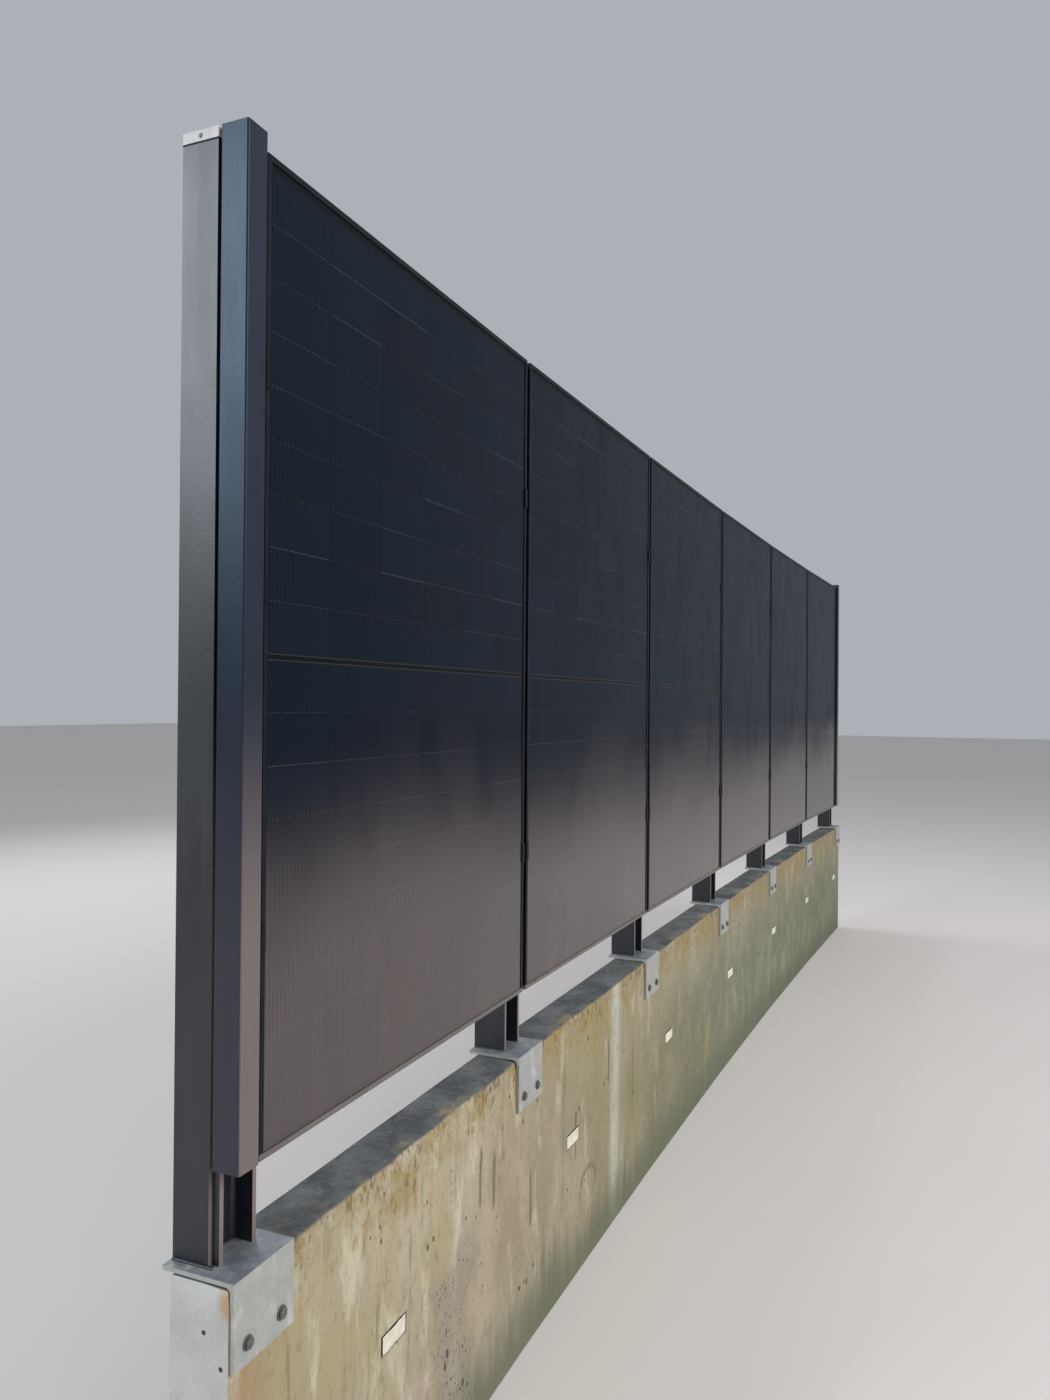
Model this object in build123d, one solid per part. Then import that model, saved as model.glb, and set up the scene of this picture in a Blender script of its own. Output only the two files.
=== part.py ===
from build123d import *
import math
import os

# A fence of upright solar modules. Steel H posts stand on base brackets of rolled angle,
# which sit over the edge of a low cast wall. The run bends gently towards the road.
#
# Frame: +X runs along the fence from its near end to its far end, -Y faces the road
# and +Z is up. The origin is the centre of the wall's underside at the middle post.

# Run
bay_count = 6
bend_per_bay = 0.65        # degrees by which each bay turns towards the road
module_gap = 20            # open seam between neighbouring modules

# Module
module_width = 1134
module_height = 1722
frame_depth = 35
frame_wall = 1.8           # thickness of the extruded frame's walls
frame_lip = 11             # front lip that shows around the glass
frame_chamber = 10.5       # width of the closed chamber behind the glass
frame_flange = 28          # back flange
slot_width = 9             # fixing slots in the back flanges of the long sides
slot_length = 14
slot_share = 0.14          # of the module's height, in from its top and bottom
laminate_thickness = 4.6
laminate_bite = 7          # how far the glass reaches into the frame's groove
groove_clearance = 0.2
module_rise = 156          # from the bracket's top to the module's underside

# Junction boxes on the back of each module
box_width = 70
box_height = 52
box_depth = 17
box_spacing = 380
box_taper = 3              # bevel around the moulded lid
lid_margin = 5
lid_thickness = 2
gland_across_flats = 13
gland_length = 12

# Posts
post_height_of_section = 96    # across the flanges, along the fence
post_flange_width = 90         # depth of the post, across the fence
post_flange = 10
post_web = 6
post_root_radius = 10
end_post_extra = 2             # how far the end posts stand above the modules
end_bar_width = 75             # flat bar on the outer flange of each end post
end_bar_thickness = 9
seat_gap = 0.2                 # clearance between a module's back and the post

# Base brackets, cut from rolled angle
bracket_thickness = 8
bracket_width = 160
bracket_depth = 148
bracket_drop = 147
bracket_root = 10              # radius in the angle's inner corner; the outer one is square
bracket_clearance = 0.2        # between the bracket's front leg and the wall
anchor_hole = 14
anchor_spacing = 90
anchor_drop = 112
anchor_across_flats = 18
anchor_head = 9.6              # head and washer together

# Plinth wall
wall_height = 800
wall_thickness = 120
wall_overhang = 4              # wall beyond the outer bracket's edge
wall_proud = 14                # wall face in front of the modules' face
wall_chamfer = 10
pocket_width = 105
pocket_height = 45
pocket_depth = 12
pocket_drop = 370              # from the wall's top to the pockets' middle
pocket_pitch = 1060
pocket_first = 530             # from the wall's near end to the first pocket

# End covers and caps
cover_sheet = 2
cover_front = 52
cover_proud = 11.5             # cover's face in front of the modules' face
cover_return = 38
cover_gap = 5                  # open joint between the cover and the end post's bar
cover_bend = 1.5
cover_lift = 5                 # cover's lower edge over the modules' underside
cover_above = 22
cap_wall = 3
cap_clearance = 0.2

# Clamps
clamp_length = 50
clamp_sheet = 2
clamp_head = 42
clamp_depth = 26
clamp_clearance = 0.2
clamp_share = 0.22             # of the module's height, in from its top and bottom
bolt_hole = 7                  # in the post's web, behind each clamp
end_clamp_stem = 12
end_clamp_head = 9

# Places that follow from the sizes above
pitch = module_width + module_gap
plate_top = wall_height + bracket_thickness
module_bottom = plate_top + module_rise
module_top = module_bottom + module_height
end_post_top = module_top + end_post_extra
cover_top = module_top + cover_above
post_front = frame_depth + seat_gap
post_centre = post_front + post_flange_width / 2
post_back = post_front + post_flange_width
bar_outer = post_height_of_section / 2 + end_bar_thickness
bar_front = post_back - end_bar_width
cover_inner = bar_outer - cover_front + cover_sheet
cover_back = bar_front - cover_gap
cover_hook = post_height_of_section / 2 + cap_clearance
bay_headings = [bend_per_bay * ((bay_count - 1) / 2 - bay) for bay in range(bay_count)]
wall_front = -wall_proud
wall_back = wall_front + wall_thickness
clamp_heights = [
    module_bottom + clamp_share * module_height,
    module_top - clamp_share * module_height,
]


def run_vertices():
    """Return the seams' places on the modules' front plane, seen from above."""
    points = [Vector(0, 0)]
    for heading in bay_headings:
        step = Vector(pitch, 0).rotate(Axis.Z, heading)
        points.append(points[-1] + step)
    middle_x = (points[0].X + points[-1].X) / 2
    middle_y = points[bay_count // 2].Y
    centre_line = wall_front + wall_thickness / 2
    return [point - Vector(middle_x, middle_y + centre_line) for point in points]


vertices = run_vertices()


def post_heading(index):
    """Return the heading of a post: halfway between the bays it stands between."""
    before = bay_headings[max(index - 1, 0)]
    after = bay_headings[min(index, bay_count - 1)]
    return (before + after) / 2


def at_bay(bay):
    """Return the place of a bay: its left seam, turned along the bay."""
    return Location((vertices[bay].X, vertices[bay].Y, 0), (0, 0, bay_headings[bay]))


def at_post(index):
    """Return the place of a post: its seam, turned along the run there."""
    return Location((vertices[index].X, vertices[index].Y, 0), (0, 0, post_heading(index)))


def is_end(index):
    return index in (0, bay_count)


def end_side(index):
    """Return the side on which an end post has its cover: -1 near, 1 far."""
    return -1 if index == 0 else 1


def block(x_range, y_range, z_range):
    """Return a block between three pairs of limits."""
    low = (x_range[0], y_range[0], z_range[0])
    size = (x_range[1] - x_range[0], y_range[1] - y_range[0], z_range[1] - z_range[0])
    return Pos(*low) * Box(*size, align=(Align.MIN, Align.MIN, Align.MIN))


def corner_near(sketch, x, y):
    """Return the corner of an outline that lies nearest to a point."""
    return sketch.vertices().sort_by_distance((x, y))[0]


def upright(sketch, bottom, top):
    """Return a plan outline raised from one height to another."""
    return Pos(0, 0, bottom) * extrude(sketch, amount=top - bottom)


def offset_line(distance):
    """Return the run's plan line moved away from the road by a distance."""
    line = []
    last = bay_count
    reach = bracket_width / 2 + wall_overhang
    for index, vertex in enumerate(vertices):
        heading = post_heading(index)
        along = 0
        if index == 0:
            along = -reach
        if index == last:
            along = reach
        half_turn = 0 if is_end(index) else bend_per_bay / 2
        across = distance / math.cos(math.radians(half_turn))
        line.append(vertex + Vector(along, across).rotate(Axis.Z, heading))
    return line


def plinth_wall():
    front = offset_line(wall_front)
    back = offset_line(wall_back)
    outline = make_face(Polyline(*front, *reversed(back), close=True))
    wall = extrude(outline, amount=wall_height)
    top_edges = wall.faces().sort_by(Axis.Z)[-1].edges()
    wall = chamfer(top_edges, wall_chamfer)
    run = (front[-1] - front[0]).length
    pocket_count = int((run - pocket_first) // pocket_pitch) + 1
    for number in range(pocket_count):
        wall -= pocket_at(pocket_first + number * pocket_pitch)
    return wall


def pocket_at(distance):
    """Return the cutter for a form-tie pocket, by its distance from the near end."""
    from_seam = distance - bracket_width / 2 - wall_overhang
    bay = min(max(int(from_seam // pitch), 0), bay_count - 1)
    middle = from_seam - bay * pitch
    height = wall_height - pocket_drop
    cutter = block(
        (middle - pocket_width / 2, middle + pocket_width / 2),
        (wall_front - pocket_depth, wall_front + pocket_depth),
        (height - pocket_height / 2, height + pocket_height / 2),
    )
    return at_bay(bay) * cutter


def bracket_seat(index):
    """Return where the back of a bracket's road leg lies, clear of the wall along its width."""
    turn = 0 if is_end(index) else math.radians(bend_per_bay / 2)
    return wall_front - bracket_width / 2 * math.tan(turn) - bracket_clearance


def base_bracket(index):
    """Return a length of angle: one leg on the wall's top, one down its road face."""
    seat = bracket_seat(index)
    outer = seat - bracket_thickness
    profile = make_face(
        Polyline(
            (outer, plate_top - bracket_drop),
            (seat, plate_top - bracket_drop),
            (seat, wall_height),
            (outer + bracket_depth, wall_height),
            (outer + bracket_depth, plate_top),
            (outer, plate_top),
            close=True,
        )
    )
    profile = fillet(corner_near(profile, seat, wall_height), bracket_root)
    side = Plane(origin=(-bracket_width / 2, 0, 0), x_dir=(0, 1, 0), z_dir=(1, 0, 0))
    bracket = extrude(side * profile, amount=bracket_width)
    for x in (-anchor_spacing / 2, anchor_spacing / 2):
        hole = Cylinder(anchor_hole / 2, 4 * bracket_thickness, rotation=(90, 0, 0))
        bracket -= Pos(x, seat, plate_top - anchor_drop) * hole
    return at_post(index) * bracket


def wall_anchors():
    """Return the heads that hold each bracket's road leg to the wall."""
    head = extrude(Plane.XZ * RegularPolygon(anchor_across_flats / math.sqrt(3), 6), amount=anchor_head)
    heads = []
    for index in range(bay_count + 1):
        face = bracket_seat(index) - bracket_thickness
        for x in (-anchor_spacing / 2, anchor_spacing / 2):
            heads.append(at_post(index) * Pos(x, face, plate_top - anchor_drop) * head)
    return Compound(heads)


def post_section():
    """Return the rolled H section: flanges across the fence, web along it."""
    half_height = post_height_of_section / 2
    half_width = post_flange_width / 2
    section = Rectangle(post_height_of_section, post_flange_width)
    gap = post_height_of_section - 2 * post_flange
    room = half_width - post_web / 2
    for side in (-1, 1):
        section -= Pos(0, side * (half_width + post_web / 2) / 2) * Rectangle(gap, room)
    inner = section.vertices().filter_by(
        lambda v: abs(v.X) < half_height - post_flange / 2 and abs(v.Y) < half_width / 2
    )
    return fillet(inner, post_root_radius)


def post(index):
    top = module_top
    section = Pos(0, post_centre) * post_section()
    if is_end(index):
        top = end_post_top
        middle = end_side(index) * (post_height_of_section + end_bar_thickness) / 2
        bar = Rectangle(end_bar_thickness, end_bar_width)
        section += Pos(middle, bar_front + end_bar_width / 2) * bar
    body = upright(section, plate_top, top)
    for height in clamp_heights:
        hole = Cylinder(bolt_hole / 2, 4 * post_web, rotation=(90, 0, 0))
        body -= Pos(bolt_place(index), post_centre, height) * hole
    return at_post(index) * body


def bolt_place(index):
    """Return where a clamp's bolt goes, along the fence from the post's middle."""
    if not is_end(index):
        return 0
    offset = (module_gap - end_clamp_stem - clamp_sheet) / 2 - clamp_clearance
    return -end_side(index) * offset


def frame_profile():
    """Return the frame's section. X goes in from its outer edge, Y back from its face."""
    wall = frame_wall
    shelf = wall + laminate_thickness + 2 * groove_clearance
    outline = Rectangle(wall, frame_depth, align=(Align.MIN, Align.MIN))
    outline += Rectangle(frame_lip, wall, align=(Align.MIN, Align.MIN))
    outline += Pos(0, shelf) * Rectangle(frame_lip, wall, align=(Align.MIN, Align.MIN))
    inner_wall = Rectangle(wall, frame_depth - shelf, align=(Align.MIN, Align.MIN))
    outline += Pos(frame_chamber - wall, shelf) * inner_wall
    back = Rectangle(frame_flange, wall, align=(Align.MIN, Align.MIN))
    outline += Pos(0, frame_depth - wall) * back
    return outline


def frame_side(length, rise):
    """Return one mitred side of a frame, along X with its outer edge at Z = 0."""
    plane = Plane(origin=(0, 0, 0), x_dir=(0, 0, 1), z_dir=(-1, 0, 0))
    bar = extrude(plane * frame_profile(), amount=-length)
    mitre = Polyline((0, 0), (length, 0), (length - rise, rise), (rise, rise), close=True)
    wedge = extrude(Plane.XZ * make_face(mitre), amount=-frame_depth)
    return bar & wedge


def module_frame(bay):
    rise = frame_flange
    bottom = Pos(module_gap / 2, 0, module_bottom) * frame_side(module_width, rise)
    left = frame_side(module_height, rise).rotate(Axis.Y, 90)
    left = Pos(module_gap / 2, 0, module_top) * left
    top = bottom.mirror(Plane.XY.offset((module_bottom + module_top) / 2))
    right = left.mirror(Plane.YZ.offset(pitch / 2))
    frame = (bottom + left + top + right).clean()
    return at_bay(bay) * (frame - fixing_slots())


def fixing_slots():
    """Return the cutters for the slots that such frames have in their back flanges."""
    slot = extrude(Plane.XZ * SlotOverall(slot_length, slot_width, rotation=90), amount=-frame_depth)
    inset = (frame_chamber + frame_flange) / 2
    cutters = []
    for x in (module_gap / 2 + inset, pitch - module_gap / 2 - inset):
        for share in (slot_share, 1 - slot_share):
            height = module_bottom + share * module_height
            cutters.append(Pos(x, frame_depth / 2, height) * slot)
    return cutters


def laminate_edge():
    """Return how far the glass edge lies in from the module's outer edge."""
    return frame_lip - laminate_bite


def module_laminate(bay):
    front = frame_wall + groove_clearance
    edge = laminate_edge()
    sheet = block(
        (module_gap / 2 + edge, module_gap / 2 + module_width - edge),
        (front, front + laminate_thickness),
        (module_bottom + edge, module_top - edge),
    )
    return at_bay(bay) * sheet


def junction_box(gland_side):
    """Return one connection box with its back at Y = 0 and a gland on one side, or none."""
    body = Box(box_width, box_depth, box_height, align=(Align.CENTER, Align.MIN, Align.CENTER))
    body = chamfer(body.faces().sort_by(Axis.Y)[-1].edges(), box_taper)
    lid_width = box_width - 2 * (box_taper + lid_margin)
    lid_height = box_height - 2 * (box_taper + lid_margin)
    lid = Box(lid_width, lid_thickness, lid_height, align=(Align.CENTER, Align.MIN, Align.CENTER))
    box = body + Pos(0, box_depth, 0) * lid
    if gland_side:
        outline = RegularPolygon(gland_across_flats / math.sqrt(3), 6)
        gland = extrude(Plane.YZ * outline, amount=gland_side * gland_length)
        box += Pos(gland_side * box_width / 2, box_depth / 2, 0) * gland
    return box


def junction_boxes(bay):
    back = frame_wall + groove_clearance + laminate_thickness
    middle = (module_bottom + module_top) / 2
    boxes = []
    for place in (-1, 0, 1):
        x = pitch / 2 + place * box_spacing
        boxes.append(at_bay(bay) * Pos(x, back, middle) * junction_box(place))
    return Compound(boxes)


def clamp_strip(points):
    """Return an extruded clamp of the given centre line, as long as a clamp is."""
    outline = make_face(Polyline(*points, close=True))
    return extrude(outline, amount=clamp_length / 2, both=True)


def mid_clamps(index):
    """Return the two clamps that hold the neighbouring modules at a post."""
    half_head = clamp_head / 2
    half_stem = module_gap / 2 - 1
    top = -clamp_clearance - clamp_sheet
    under = -clamp_clearance
    floor = clamp_depth
    inner = half_stem - clamp_sheet
    points = [
        (-half_head, top),
        (-inner, top),
        (-inner, floor - clamp_sheet),
        (inner, floor - clamp_sheet),
        (inner, top),
        (half_head, top),
        (half_head, under),
        (half_stem, under),
        (half_stem, floor),
        (-half_stem, floor),
        (-half_stem, under),
        (-half_head, under),
    ]
    clamp = clamp_strip(points)
    return Compound([at_post(index) * Pos(0, 0, z) * clamp for z in clamp_heights])


def end_clamps(index):
    """Return the two clamps that hold the outer edge of an end module."""
    toward_module = -end_side(index)
    edge = module_gap / 2
    stem_out = edge - clamp_clearance - end_clamp_stem
    stem_in = edge - clamp_clearance
    top = -clamp_clearance - clamp_sheet
    points = [
        (stem_in - clamp_sheet, top),
        (edge + end_clamp_head, top),
        (edge + end_clamp_head, -clamp_clearance),
        (stem_in, -clamp_clearance),
        (stem_in, clamp_depth),
        (stem_out, clamp_depth),
        (stem_out, clamp_depth - clamp_sheet),
        (stem_in - clamp_sheet, clamp_depth - clamp_sheet),
    ]
    clamp = clamp_strip([(toward_module * x, y) for x, y in points])
    return Compound([at_post(index) * Pos(0, 0, z) * clamp for z in clamp_heights])


def end_cover(index):
    """Return the folded cover that closes the fence's end and hooks behind the post's tip."""
    front = -cover_proud
    sheet = cover_sheet
    section = make_face(
        Polyline(
            (cover_hook, cover_back),
            (bar_outer, cover_back),
            (bar_outer, front),
            (bar_outer - cover_front, front),
            (bar_outer - cover_front, front + cover_return),
            (cover_inner, front + cover_return),
            (cover_inner, front + sheet),
            (bar_outer - sheet, front + sheet),
            (bar_outer - sheet, cover_back - sheet),
            (cover_hook, cover_back - sheet),
            close=True,
        )
    )
    for x, y, radius in (
        (bar_outer - sheet, cover_back - sheet, cover_bend),
        (bar_outer - sheet, front + sheet, cover_bend),
        (cover_inner, front + sheet, cover_bend),
        (bar_outer, cover_back, cover_bend + sheet),
        (bar_outer, front, cover_bend + sheet),
        (bar_outer - cover_front, front, cover_bend + sheet),
    ):
        section = fillet(corner_near(section, x, y), radius)
    if end_side(index) < 0:
        section = section.mirror(Plane.YZ)
    cover = upright(section, module_bottom + cover_lift, cover_top)
    return at_post(index) * cover


def post_cap(index):
    """Return the shallow cap on an end post, with a nose that closes the cover."""
    side = end_side(index)
    half = post_height_of_section / 2
    heights = (end_post_top, cover_top)
    gap = cap_clearance
    wall = cap_wall

    def cap_block(x_range, y_range, z_range=heights):
        return block(sorted((side * x_range[0], side * x_range[1])), y_range, z_range)

    nose_front = cover_sheet + gap + cover_bend - cover_proud
    nose_back = cover_back - cover_sheet - gap - cover_bend
    cap = cap_block((-half, bar_outer), (bar_front, post_back))
    cap += cap_block((cover_inner + gap, half), (nose_front, bar_front))
    cap += cap_block((cover_inner + gap, bar_outer - cover_sheet - gap), (nose_front, nose_back))
    inside = (end_post_top, cover_top - wall)
    cap -= cap_block((-half + wall, bar_outer - wall), (bar_front + wall, post_back - wall), inside)
    return at_post(index) * cap


def save(solid, name):
    export_step(solid, os.path.join("parts", name + ".step"))


def main():
    os.makedirs("parts", exist_ok=True)
    save(plinth_wall(), "plinth_wall")
    save(wall_anchors(), "wall_anchors")
    for index in range(bay_count + 1):
        save(base_bracket(index), f"base_bracket_{index + 1}")
        save(post(index), f"post_{index + 1}")
    for index in range(1, bay_count):
        save(mid_clamps(index), f"mid_clamps_{index}")
    for bay in range(bay_count):
        save(module_frame(bay), f"module_frame_{bay + 1}")
        save(module_laminate(bay), f"module_laminate_{bay + 1}")
        save(junction_boxes(bay), f"junction_boxes_{bay + 1}")
    for index, end in ((0, "near"), (bay_count, "far")):
        save(end_clamps(index), f"end_clamps_{end}")
        save(end_cover(index), f"end_cover_{end}")
        save(post_cap(index), f"post_cap_{end}")


main()
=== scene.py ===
import math
import random

import bmesh
import bpy
from mathutils import Matrix, Vector, noise


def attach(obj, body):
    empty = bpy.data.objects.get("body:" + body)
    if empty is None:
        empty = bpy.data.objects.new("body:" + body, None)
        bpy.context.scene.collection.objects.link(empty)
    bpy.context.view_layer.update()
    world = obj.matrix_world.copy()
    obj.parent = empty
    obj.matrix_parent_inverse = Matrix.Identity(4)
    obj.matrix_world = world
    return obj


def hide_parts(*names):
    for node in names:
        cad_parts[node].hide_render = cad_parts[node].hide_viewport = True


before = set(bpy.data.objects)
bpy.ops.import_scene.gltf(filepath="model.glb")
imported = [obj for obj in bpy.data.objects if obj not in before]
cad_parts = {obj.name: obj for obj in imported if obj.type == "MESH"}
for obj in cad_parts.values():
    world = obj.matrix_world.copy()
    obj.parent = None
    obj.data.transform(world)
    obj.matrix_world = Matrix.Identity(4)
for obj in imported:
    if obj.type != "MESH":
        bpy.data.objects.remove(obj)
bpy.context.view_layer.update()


# the run of the fence, as the solids have it
run = dict(
    bays=6,
    pitch=1.154,           # seam to seam
    bend=0.65,             # degrees that each bay turns towards the road
    gap=0.020,             # open seam between two modules
    wallMiddle=0.046,      # from the modules' face back to the wall's centre line
)
module = dict(
    width=1.134,
    height=1.722,
    bottom=0.964,
)
wall = dict(
    height=0.800,
    thick=0.120,
    front=-0.014,          # wall face, from the modules' face
    overhang=0.084,        # wall beyond the end posts' centres
    chamfer=0.010,
)
post = dict(
    width=0.096,           # along the fence
    depth=0.090,
    flange=0.010,
    web=0.006,
    front=0.0352,          # flange tips, from the modules' face
    foot=0.808,
    barFront=0.0502,       # flat bar on the end posts' outer flange
    barOut=0.057,
)
moduleTop = module["bottom"] + module["height"]


def headingOf(bay):
    return math.radians(run["bend"] * ((run["bays"] - 1) / 2 - bay))


def seamPoints():
    points = [Vector((0, 0, 0))]
    for bay in range(run["bays"]):
        turned = Matrix.Rotation(headingOf(bay), 3, "Z") @ Vector((run["pitch"], 0, 0))
        points.append(points[-1] + turned)
    middleX = (points[0].x + points[-1].x) / 2
    middleY = points[run["bays"] // 2].y + run["wallMiddle"]
    return [point - Vector((middleX, middleY, 0)) for point in points]


seams = seamPoints()


def bayPlace(bay):
    return Matrix.Translation(seams[bay]) @ Matrix.Rotation(headingOf(bay), 4, "Z")


def postPlace(index):
    before = headingOf(max(index - 1, 0))
    after = headingOf(min(index, run["bays"] - 1))
    return Matrix.Translation(seams[index]) @ Matrix.Rotation((before + after) / 2, 4, "Z")


def atEnd(index):
    return index in (0, run["bays"])


def outwardOf(index):
    return -1 if index == 0 else 1


# materials: sums on sockets, so that a pattern reads like its formula
class Value:
    def __init__(self, finish, socket):
        self.finish = finish
        self.socket = socket

    def maths(self, operation, *others, flip=False, **settings):
        values = [self, *others]
        if flip:
            values.reverse()
        inputs = dict(enumerate(values))
        return self.finish.put("ShaderNodeMath", dict(operation=operation, **settings), inputs)

    def __add__(self, other):
        return self.maths("ADD", other)

    __radd__ = __add__

    def __sub__(self, other):
        return self.maths("SUBTRACT", other)

    def __rsub__(self, other):
        return self.maths("SUBTRACT", other, flip=True)

    def __mul__(self, other):
        return self.maths("MULTIPLY", other)

    __rmul__ = __mul__

    def __truediv__(self, other):
        return self.maths("DIVIDE", other)

    def __pow__(self, other):
        return self.maths("POWER", other)

    def __lt__(self, other):
        return self.maths("LESS_THAN", other)

    def __gt__(self, other):
        return self.maths("GREATER_THAN", other)

    def __mod__(self, other):
        return self.maths("FLOORED_MODULO", other)

    def __abs__(self):
        return self.maths("ABSOLUTE")

    def clamp(self):
        return self.maths("ADD", 0.0, use_clamp=True)

    def fades(self, start, end, low=0.0, high=1.0):
        settings = dict(interpolation_type="SMOOTHSTEP")
        inputs = {0: self, 1: start, 2: end, 3: low, 4: high}
        return self.finish.put("ShaderNodeMapRange", settings, inputs)


class Finish:
    def __init__(self, name, base):
        self.material = bpy.data.materials.new(name)
        self.material.use_nodes = True
        self.tree = self.material.node_tree
        self.shader = self.tree.nodes["Principled BSDF"]
        for key, value in base.items():
            self.shader.inputs[key].default_value = value

    def put(self, kind, settings=None, inputs=None, out=0):
        node = self.tree.nodes.new(kind)
        for key, value in (settings or {}).items():
            setattr(node, key, value)
        for key, value in (inputs or {}).items():
            if isinstance(value, Value):
                self.tree.links.new(value.socket, node.inputs[key])
            else:
                node.inputs[key].default_value = value
        return Value(self, node.outputs[out])

    def drive(self, name, value):
        self.tree.links.new(value.socket, self.shader.inputs[name])

    def place(self, scale=(1, 1, 1), shift=(0, 0, 0)):
        where = self.put("ShaderNodeTexCoord", out=3)
        return self.put("ShaderNodeMapping", None, {0: where, 1: shift, 3: scale})

    def ownMap(self, name):
        return self.put("ShaderNodeUVMap", dict(uv_map=name))

    def axis(self, vector, name):
        return self.put("ShaderNodeSeparateXYZ", None, {0: vector}, out="XYZ".index(name))

    def noise(self, vector, scale, detail=3.0, rough=0.5):
        inputs = {"Vector": vector, "Scale": scale, "Detail": detail, "Roughness": rough}
        return self.put("ShaderNodeTexNoise", None, inputs)

    def cells(self, vector, scale, out=0):
        inputs = {"Vector": vector, "Scale": scale}
        return self.put("ShaderNodeTexVoronoi", None, inputs, out=out)

    def distance(self, vector, spot):
        inputs = {0: vector, 1: spot}
        return self.put("ShaderNodeVectorMath", dict(operation="DISTANCE"), inputs, out=1)

    def mix(self, under, over, amount):
        def asColour(value):
            return value if isinstance(value, Value) else (*value, 1.0)
        inputs = {0: amount, 6: asColour(under), 7: asColour(over)}
        return self.put("ShaderNodeMix", dict(data_type="RGBA"), inputs, out=2)

    def relief(self, height, strength, distance):
        inputs = {"Height": height, "Strength": strength, "Distance": distance}
        self.drive("Normal", self.put("ShaderNodeBump", None, inputs))


def cellGlass():
    look = dict(
        columns=6, rows=9,             # rows of half cells above and below the middle
        cellWide=0.182, cellTall=0.0910,
        columnGap=0.0022, rowGap=0.0018, middleGap=0.008,
        wires=16, wireWide=0.00045,
        ribbon=0.0012,                 # half width of the ribbon across the middle
    )
    finish = Finish("cell_glass", {
        "Coat Roughness": 0.035, "Coat IOR": 1.45,
        "Specular IOR Level": 0.055, "Specular Tint": (0.58, 0.82, 1.0, 1),
    })
    spot = finish.ownMap("sheet")
    across = (finish.axis(spot, "X") - 0.5) * module["width"]
    up = abs((finish.axis(spot, "Y") - 0.5) * module["height"])
    columnPitch = look["cellWide"] + look["columnGap"]
    rowPitch = look["cellTall"] + look["rowGap"]
    inColumn = abs(across % columnPitch - columnPitch / 2)
    inRow = abs((up - look["middleGap"] / 2) % rowPitch - rowPitch / 2)
    fieldWide = look["columns"] / 2 * columnPitch - look["columnGap"] / 2
    fieldTall = look["middleGap"] / 2 + look["rows"] * rowPitch - look["rowGap"] / 2
    inField = (abs(across) < fieldWide) * (up < fieldTall) * (up > look["middleGap"] / 2)
    isCell = (inColumn < look["cellWide"] / 2) * inField
    isCell = isCell * (inRow < look["cellTall"] / 2)
    wirePitch = look["cellWide"] / look["wires"]
    inWire = abs((across % columnPitch - look["columnGap"] / 2) % wirePitch - wirePitch / 2)
    isWire = (inWire < look["wireWide"] / 2) * inField
    cloud = finish.noise(finish.place(), 1.6, 2.0)
    tint = finish.put("ShaderNodeTexWhiteNoise", dict(noise_dimensions="2D"), {
        0: finish.put("ShaderNodeCombineXYZ", None, {
            0: (across / columnPitch).maths("FLOOR"),
            1: ((finish.axis(spot, "Y") - 0.5) * module["height"] / rowPitch).maths("FLOOR"),
        }),
    })
    dark = finish.mix((0.0014, 0.0036, 0.0090), (0.0032, 0.0070, 0.0155), tint * 0.6 + cloud * 0.4)
    dashes = (inRow > look["cellTall"] / 2) * inField
    backing = finish.mix((0.0022, 0.0022, 0.0028), (0.034, 0.034, 0.036), dashes * tint ** 2)
    colour = finish.mix(backing, dark, isCell)
    inRibbon = abs(up - look["middleGap"] / 2 - look["ribbon"]) < look["ribbon"]
    colour = finish.mix(colour, (0.020, 0.020, 0.022), inRibbon * (abs(across) < fieldWide))
    colour = finish.mix(colour, (0.030, 0.031, 0.034), isWire * 0.5)
    colour = finish.mix(colour, (0.20, 0.21, 0.225), isWire * dashes)
    dust = finish.noise(finish.place((1, 1, 0.35)), 9.0, 6.0, 0.62).fades(0.42, 0.8)
    # road dust, and a painted reflection of the pale road, on the lower two fifths; the wires show
    # paler in it
    low = (finish.axis(spot, "Y") + 0.16 * (cloud - 0.5) + 0.04 * (dust - 0.5)).fades(0.42, 0.13)
    dustAndPaintedLight = low * (0.7 + 0.3 * dust)
    colour = finish.mix(colour, (0.150, 0.106, 0.092), dustAndPaintedLight * 0.45)
    finish.drive("Base Color", finish.mix(colour, (0.24, 0.19, 0.17), isWire * low * 0.45))
    finish.drive("Roughness", 0.40 + 0.08 * dust + 0.12 * low)
    finish.drive("Coat Weight", 0.08 + 0.92 * low)
    sway = finish.noise(finish.place((1, 1, 0.6)), 1.3, 0.0)
    finish.relief(sway, 0.05, 0.02)
    return finish.material


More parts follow.
